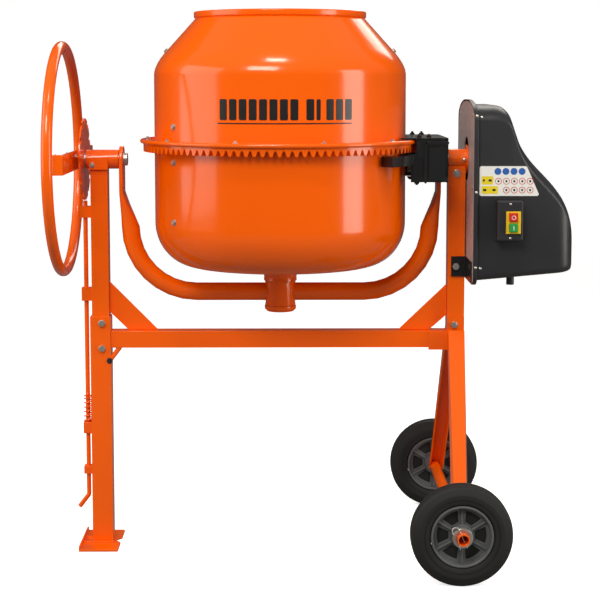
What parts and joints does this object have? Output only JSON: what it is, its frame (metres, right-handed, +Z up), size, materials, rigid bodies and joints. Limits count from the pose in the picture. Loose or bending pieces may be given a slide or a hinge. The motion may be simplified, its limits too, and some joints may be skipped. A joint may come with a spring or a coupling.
{
  "type": "concrete mixer",
  "caption": "Wheeled electric concrete mixer: tilting drum in a yoke, ring-gear drive under a cover, handwheel with locking disc, stand on a foot and a wheeled axle.",
  "frame": {"origin": "on the floor under the middle of the mixer's overall box", "axes": "+Z up, +X from the handwheel to the drive cover, -Y toward the side with the switch"},
  "size_m": [1.1876, 0.744, 1.262],
  "materials": {
    "orange_paint": "glossy orange enamel",
    "zinc_steel": "zinc plated",
    "machined_steel": "turned",
    "black_paint": "semi-gloss",
    "plate_grey": "galvanised grey",
    "black_plastic": "moulded, satin",
    "rubber": "matt",
    "tyre_rubber": "matt",
    "rim_plastic": "moulded",
    "motor_aluminium": "cast",
    "yellow_plastic": "moulded",
    "red_plastic": "moulded",
    "green_plastic": "moulded",
    "cast_iron": "as cast",
    "blade_steel": "dark primer"
  },
  "bodies": {
    "frame": {"left_post": "orange_paint", "left_leg": "orange_paint", "foot_plate": "orange_paint", "crossbeam": "orange_paint", "left_brace": "orange_paint", "right_brace": "orange_paint", "right_post": "orange_paint", "front_wheel_leg": "orange_paint", "rear_wheel_leg": "orange_paint", "wheel_axle": "zinc_steel", "left_pivot_housing": "orange_paint", "left_bearing_saddle": "orange_paint", "right_pivot_housing": "orange_paint", "motor_bracket": "black_paint", "drive_back_plate": "plate_grey", "drive_cover": "black_plastic", "electric_motor": "motor_aluminium", "switch_box": "black_plastic", "switch_bezel": "yellow_plastic", "power_inlet": "black_plastic", "drive_belt": "rubber", "front_r_clip": "zinc_steel", "rear_r_clip": "zinc_steel", "front_wheel_washer": "zinc_steel", "rear_wheel_washer": "zinc_steel", "leg_bolt_upper": "zinc_steel", "leg_bolt_lower": "zinc_steel", "motor_bracket_bolt": "zinc_steel", "gusset_bolt": "zinc_steel"},
    "yoke": {"yoke_left_arm": "orange_paint", "yoke_right_arm": "orange_paint", "drum_hub_housing": "orange_paint", "hub_cap": "orange_paint", "hub_bearing": "machined_steel", "left_tilt_shaft": "zinc_steel", "right_tilt_journal": "machined_steel", "locking_disc": "orange_paint", "handwheel_hub": "orange_paint", "handwheel_crossbar": "orange_paint", "handwheel_rim": "orange_paint", "pinion_guard": "black_paint"},
    "drum": {"upper_drum": "orange_paint", "lower_drum": "orange_paint", "drum_spindle": "machined_steel", "ring_gear_front": "orange_paint", "ring_gear_rear": "orange_paint", "mixing_blade_left": "blade_steel", "mixing_blade_right": "blade_steel"},
    "pinion_assembly": {"pinion_shaft": "machined_steel", "pinion": "cast_iron", "large_pulley": "black_plastic"},
    "motor_rotor": {"motor_pulley": "machined_steel"},
    "lock": {"lock_rod": "orange_paint", "lock_spring": "zinc_steel"},
    "front_wheel": {"front_tyre": "tyre_rubber", "front_rim": "rim_plastic"},
    "rear_wheel": {"rear_tyre": "tyre_rubber", "rear_rim": "rim_plastic"},
    "stop": {"stop_button": "red_plastic"},
    "start": {"start_button": "green_plastic"}
  },
  "joints": [
    {"name": "drum_tilt", "type": "hinge", "parent": "frame", "child": "yoke", "pos_m": [-0.07325, 0, 0.92], "axis": [1, 0, 0], "range_deg": [-120, 120]},
    {"name": "drum_spin", "type": "hinge", "parent": "yoke", "child": "drum", "pos_m": [-0.07325, 0, 0.92], "axis": [0, 0, 1], "continuous": true},
    {"name": "pinion_spin", "type": "hinge", "parent": "yoke", "child": "pinion_assembly", "pos_m": [0.29825, 0, 0.92], "axis": [1, 0, 0], "continuous": true},
    {"name": "motor_spin", "type": "hinge", "parent": "frame", "child": "motor_rotor", "pos_m": [0.40075, 0, 0.735], "axis": [1, 0, 0], "continuous": true},
    {"name": "front_wheel_spin", "type": "hinge", "parent": "frame", "child": "front_wheel", "pos_m": [0.32475, -0.324, 0.1125], "axis": [0, 1, 0], "continuous": true},
    {"name": "rear_wheel_spin", "type": "hinge", "parent": "frame", "child": "rear_wheel", "pos_m": [0.32475, 0.324, 0.1125], "axis": [0, 1, 0], "continuous": true},
    {"name": "lock_slide", "type": "slide", "parent": "frame", "child": "lock", "axis": [0, 0, 1], "range_m": [-0.012, 0.01], "stiffness_N_per_m": 1500, "springref_m": 0.0037, "deforming": ["lock_spring"]},
    {"name": "stop_press", "type": "slide", "parent": "frame", "child": "stop", "axis": [0, 1, 0], "range_m": [0, 0.003], "stiffness_N_per_m": 300},
    {"name": "start_press", "type": "slide", "parent": "frame", "child": "start", "axis": [0, 1, 0], "range_m": [0, 0.003], "stiffness_N_per_m": 300}
  ],
  "couplings": [
    {"joint": "pinion_spin", "follows": "drum_spin", "ratio": -12.222},
    {"joint": "motor_spin", "follows": "drum_spin", "ratio": -92.72}
  ]
}
